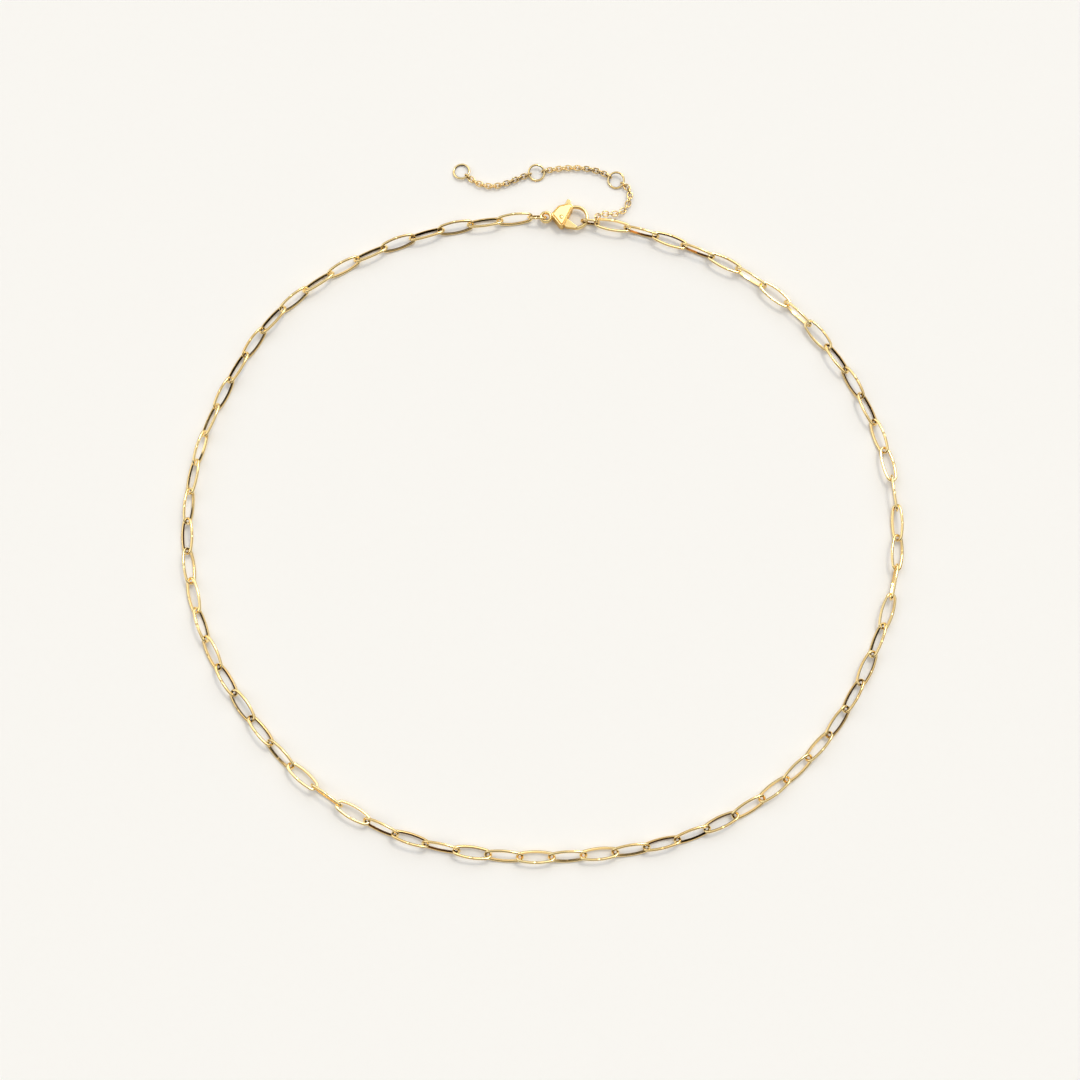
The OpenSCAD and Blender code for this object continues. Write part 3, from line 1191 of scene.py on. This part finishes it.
    def _eye(self) -> list[bpy.types.Object]:
        """Models the eye's ring and the neck that carries it.

        Returns:
            The two solids.
        """
        ring = rounded_ring(
            "eye", self.eye, self.eye_metal, self.eye_height, self.metal_sides, self.eye_steps
        )
        joint = Spot(self.eye.x + self.eye.radius, self.eye.y, self.eye_metal / 2 - self.neck_taper)
        root = Spot(self.neck.x + self.neck_reach, self.neck.y, self.neck.radius)
        return [ring, slab("neck", [joint, root], self.neck_half)]

    def _painted_shade(self, at: Vector, way: Vector) -> float:
        """How much painted shade deepens a spot's colour: in the groove, on the walls below the
        panel's top, and on the insides of the claw and the eye.

        Args:
            at: the spot.
            way: its normal.

        Returns:
            From 0, no painted shade, to 1, full painted shade, and up to 2 on the walls below the
            groove's edge.
        """
        for ring in (self.claw, self.eye):
            out = Vector((at.x - ring.x, at.y - ring.y, 0))
            if out.length < ring.radius + self.shade_reach:
                return eased((-way.dot(out.normalized()) - self.shade_from) / self.shade_fade)
        below = self.half_thick - abs(at.z)
        if below < self.shade_top or below > self.shade_foot:
            return 0.0
        wall = eased((self.wall_shade_from - abs(way.z)) / self.wall_shade_fade)
        return wall + float(below > self.panel_height + self.shade_groove)

    def build_body(
        self, place: Matrix, polished: bpy.types.Material, satin: bpy.types.Material
    ) -> None:
        """Models the cast body and dresses it.

        Args:
            place: where the pin's middle is, in metres.
            polished: the material of its rim, eye and claw.
            satin: the material of its panels.
        """
        casting = Bench.join("clasp_casting", [self._body_slab(), self._claw(), *self._eye()])
        Bench.skin(casting, self.grain, self.body_strokes)
        Bench.value(casting, "rub_and_joint_shade", lambda at, way: 1.0)
        # Painted shade in the groove, on the walls and inside the claw and the eye.
        Bench.value(casting, "inside", self._painted_shade)
        flat, level = self.half_thick - self.satin_top, self.satin_level
        panels = [
            int(abs(face.center.z) > flat and abs(face.normal.z) > level)
            for face in casting.data.polygons
        ]
        Bench.settle(casting, place)
        dress(casting, "clasp_body", Body.NECKLACE, [polished, satin])
        casting.data.polygons.foreach_set("material_index", panels)

    def build_lever(self, place: Matrix, polished: bpy.types.Material) -> None:
        """Models the sprung lever with its gate and its notched thumb tab, and dresses it.

        Args:
            place: where the pin's middle is, in metres.
            polished: its material.
        """
        lever = slab("lever", (self.hub, self.elbow, self.gate), self.lever_half)
        reach = slab("reach", [Spot(0, 0, self.gate_reach)], self.half_thick, self.fine_sides)
        Bench.cut(lever, reach, Cut.COMMON)
        tab = slab("tab", (Spot(0, 0, self.tab.radius), self.tab), self.lever_half)
        Bench.cut(lever, tab, Cut.TOGETHER)
        bore = slab("bore", [Spot(0, 0, self.pin_radius + self.bore_play)], self.half_thick)
        Bench.cut(lever, bore, Cut.AWAY)
        out = Vector((self.tab.x, self.tab.y, 0))
        way = out.normalized()
        top = way * (way.dot(out) + self.tab.radius)
        edge = Spot(top.x, top.y, self.notch_radius)
        notch = slab("notch", [edge], self.half_thick, self.notch_sides)
        Bench.cut(lever, notch, Cut.AWAY)
        Bench.skin(lever, self.grain, self.lever_strokes)
        Bench.value(lever, "rub_and_joint_shade", lambda at, way: 1.0)
        # Painted shade on the lever's side walls, a darker outline.
        Bench.value(
            lever,
            "inside",
            lambda at, way: eased((self.lever_shade_wall - abs(way.z)) / self.lever_shade_fade),
        )
        Bench.settle(lever, place)
        lever.name = "clasp_gate"
        dress(lever, "clasp_lever", Body.LEVER, [polished])

    def build_pin(self, place: Matrix, polished: bpy.types.Material) -> None:
        """Models the rivet with its domed ends and dresses it.

        Args:
            place: where the pin's middle is, in metres.
            polished: its material.
        """
        half = self.half_thick - self.pin_sink
        rivet = slab("rivet", [Spot(0, 0, self.pin_radius)], half, self.pin_sides)
        Bench.open(rivet)
        self._round_rims(rivet, half, self.pin_bevel, 4)
        Bench.close()
        Bench.only(rivet)
        bpy.ops.object.shade_smooth_by_angle(angle=math.radians(self.pin_crease))
        Bench.settle(rivet, place)
        dress(rivet, "clasp_pin", Body.NECKLACE, [polished])


# The studio.


@dataclass(frozen=True)
class SoftBox:
    """A soft light in the room, which starts and is full at two nearnesses to its way."""

    way: Triple
    start: float
    full: float
    light: Triple


@dataclass
class Studio:
    """A pale sheet, soft light and a camera at the photograph's angle.

    Sizes are in metres, turns in degrees, and the lens and the film in millimetres.
    """

    dim: Triple = (0.04, 0.036, 0.03)
    boxes: tuple[SoftBox, ...] = (
        SoftBox((0.10, 0.25, 0.95), 0.40, 0.60, (0.79, 0.795, 0.81)),
        SoftBox((0.35, 0.62, 0.70), 0.90, 0.95, (2.1, 2.1, 2.15)),
        SoftBox((-0.75, 0.15, 0.60), 0.86, 0.92, (1.4, 1.4, 1.45)),
    )
    key_way: Triple = (0.42, 0.62, 1.25)
    key_light: Triple = (1.0, 0.93, 0.77)
    key_energy: float = 0.75
    key_angle: float = 14.0
    aim: Triple = (-0.0004142, -0.0076340, 0.0)
    tilt: float = 14.0
    distance: float = 0.4161
    lens: float = 74.8
    film: float = 36.0
    nearest: float = 0.01
    sheet: float = 8.0
    sheet_sides: int = 96

    def build_floor(self) -> None:
        """Lays the pale sheet under the necklace."""
        bpy.ops.object.select_all(action="DESELECT")
        bpy.ops.mesh.primitive_circle_add(
            vertices=self.sheet_sides, radius=self.sheet, fill_type="NGON"
        )
        floor = Bench.start("paper_floor")
        floor.data.materials.append(PaperFinish().material())

    def build_lights(self) -> None:
        """Hangs the key light at the upper right, and lights the dim room with its soft boxes."""
        key = bpy.data.lights.new("key_window", "SUN")
        key.energy = self.key_energy
        key.angle = math.radians(self.key_angle)
        key.color = self.key_light
        lamp = bpy.data.objects.new("key_window", key)
        lamp.rotation_euler = Vector(self.key_way).to_track_quat("Z", "Y").to_euler()
        bpy.context.scene.collection.objects.link(lamp)
        world = bpy.data.worlds.new("studio_room")
        bpy.context.scene.world = world
        bench = NodeBench(world)
        way = bench.node("ShaderNodeTexCoord", {}, {}, output="Generated")
        room: Colour = self.dim
        for box in self.boxes:
            near = bench.node(
                "ShaderNodeVectorMath",
                {"operation": "DOT_PRODUCT"},
                {0: way, 1: Vector(box.way).normalized()},
                output="Value",
            )
            share = bench.node(
                "ShaderNodeMapRange",
                {"interpolation_type": "SMOOTHSTEP"},
                {"Value": near, "From Min": box.start, "From Max": box.full},
            )
            room = bench.mix(share, room, box.light)
        glow = bench.node("ShaderNodeBackground", {}, {"Color": room, "Strength": 1.0})
        bench.node("ShaderNodeOutputWorld", {}, {"Surface": glow})

    def build_camera(self) -> None:
        """Sets the camera where the photograph was taken from."""
        camera = bpy.data.cameras.new("camera")
        camera.sensor_fit = "HORIZONTAL"
        camera.sensor_width = self.film
        camera.lens = self.lens
        camera.clip_start = self.nearest
        holder = bpy.data.objects.new("camera", camera)
        tilt = math.radians(self.tilt)
        back = Vector((0, -math.sin(tilt), math.cos(tilt))) * self.distance
        holder.location = Vector(self.aim) + back
        holder.rotation_euler = (tilt, 0, 0)
        bpy.context.scene.collection.objects.link(holder)
        bpy.context.scene.camera = holder

    def build(self) -> None:
        """Builds the floor, the lights and the camera, and asks for plain colours."""
        self.build_floor()
        self.build_lights()
        self.build_camera()
        bpy.context.scene.view_settings.view_transform = "Standard"


# The necklace.


@dataclass
class Necklace:
    """The whole necklace: its rows of wire loops and its clasp."""

    long_link: WireLoop = field(
        default_factory=lambda: BowedLoop(length=7.14, width=2.78, wire=0.54)
    )
    jump_ring: WireLoop = field(
        default_factory=lambda: WireLoop(
            length=3.8, width=2.6, wire=0.46, sides=24, steps=48, seam=0.04, opened=True
        )
    )
    # The fine links' painted inner shade reaches over about half of the wire.
    fine_link: WireLoop = field(
        default_factory=lambda: WireLoop(
            length=1.6, width=1.2, wire=0.24, sides=12, steps=20, inner_shade_from=0.1
        )
    )
    size_ring: WireLoop = field(
        default_factory=lambda: WireLoop(length=3.4, width=3.4, wire=0.4, sides=24, steps=64)
    )
    clasp: Clasp = field(default_factory=Clasp)

    def runs(self) -> list[tuple[LoopRun, GoldFinish]]:
        """Lists the rows of loops.

        Returns:
            Each row and its finish.
        """
        rows = [
            (LoopRun(self.long_link, "paperclip_chain", "long_links"), POLISHED),
            (LoopRun(self.jump_ring, "clasp_jump_ring", "clasp_ring"), POLISHED),
            (LoopRun(self.jump_ring, "end_jump_ring", "end_ring"), POLISHED),
        ]
        for number in (1, 2, 3):
            links = LoopRun(self.fine_link, f"extender_run_{number}", f"fine_links_{number}")
            ring = LoopRun(self.size_ring, f"extender_ring_{number}", f"size_ring_{number}")
            rows += [(links, FINE_POLISHED), (ring, POLISHED)]
        return rows

    def build(self, frame: dict) -> None:
        """Builds every piece.
        """
        made = {finish.name: finish.material() for finish in (POLISHED, FINE_POLISHED, CAST, SATIN)}
        for row, finish in self.runs():
            row.build(frame, made[finish.name])
        low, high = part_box("clasp_pin")
        place = Matrix.Translation((low + high) / 2)
        self.clasp.build_body(place, made[CAST.name], made[SATIN.name])
        self.clasp.build_lever(place, made[CAST.name])
        self.clasp.build_pin(place, made[CAST.name])


def main() -> None:
    """Builds the necklace's pieces in order, then the studio round them."""
    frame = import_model()
    Necklace().build(frame)
    Studio().build()


if __name__ == "__main__":
    logging.basicConfig(level=logging.INFO, format="%(name)s: %(message)s")
    main()
